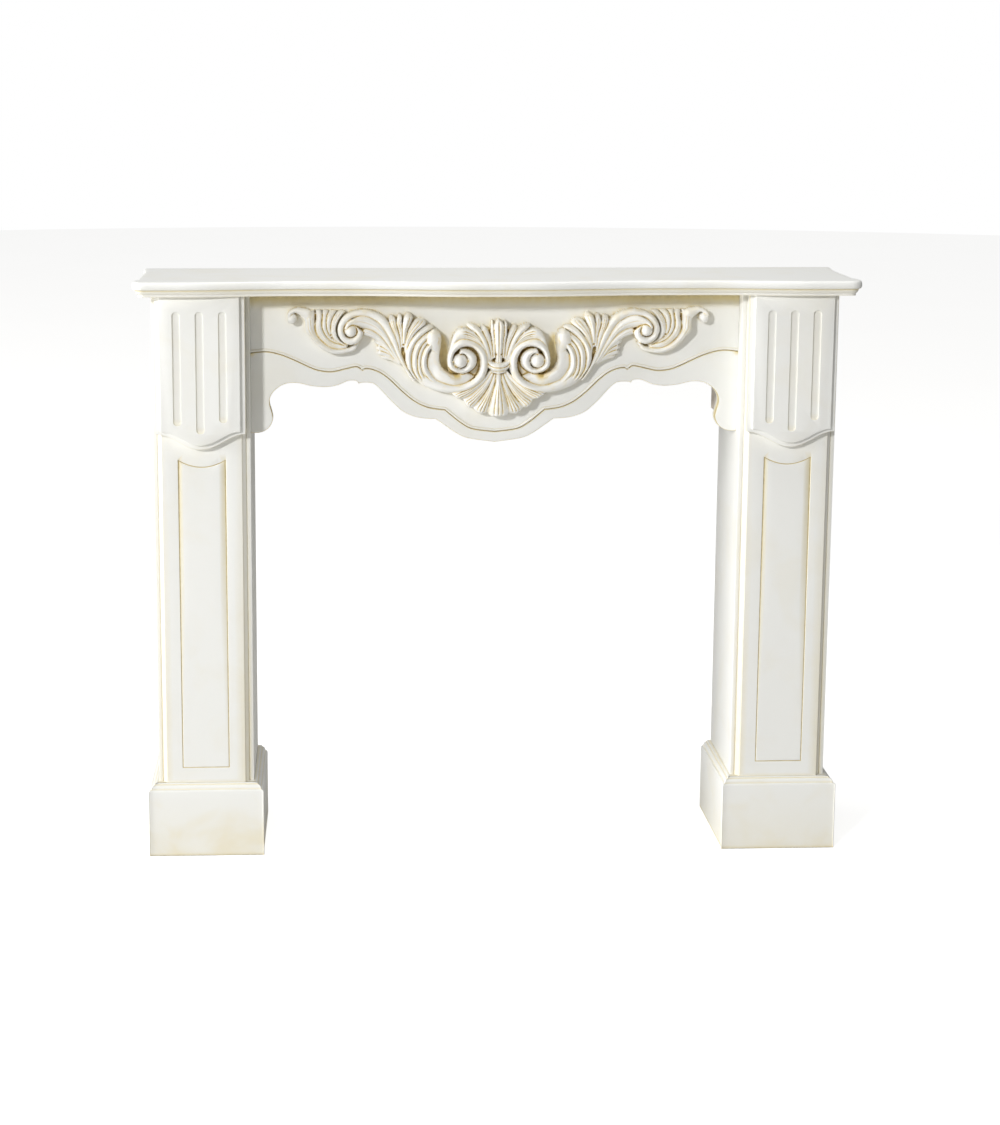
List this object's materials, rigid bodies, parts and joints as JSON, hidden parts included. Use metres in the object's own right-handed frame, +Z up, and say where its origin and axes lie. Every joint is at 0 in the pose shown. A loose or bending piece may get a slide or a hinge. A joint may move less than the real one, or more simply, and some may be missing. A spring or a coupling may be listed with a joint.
{
  "type": "fireplace mantelpiece",
  "caption": "Freestanding fireplace surround: serpentine shelf on two cased legs with fluted blocks and moulded feet, and a scalloped frieze with scroll and shell carving.",
  "frame": {"origin": "on the floor, at the middle of the box round the object", "axes": "+X to the right along the shelf, +Y to the back that stands at the wall, +Z up"},
  "size_m": [1.222, 0.248, 1.007],
  "materials": {
    "antique_lacquer": "ivory lacquer over fibreboard, satin, with an ochre patina rubbed into grooves and edges",
    "cast_ornament": "cast resin ornament in the same ivory lacquer, with a gold-ochre patina in its hollows",
    "bare_wood": "unpainted wood, hidden behind the frieze"
  },
  "bodies": {
    "root": {"mantel_shelf": "antique_lacquer", "frieze_board": "antique_lacquer", "frieze_carving": "cast_ornament", "left_leg_front_board": "antique_lacquer", "left_leg_inner_side": "antique_lacquer", "left_leg_outer_side": "antique_lacquer", "left_leg_raised_panel": "antique_lacquer", "left_foot": "antique_lacquer", "left_capital_block": "antique_lacquer", "left_corner_block": "bare_wood", "right_leg_front_board": "antique_lacquer", "right_leg_inner_side": "antique_lacquer", "right_leg_outer_side": "antique_lacquer", "right_leg_raised_panel": "antique_lacquer", "right_foot": "antique_lacquer", "right_capital_block": "antique_lacquer", "right_corner_block": "bare_wood"}
  },
  "joints": []
}
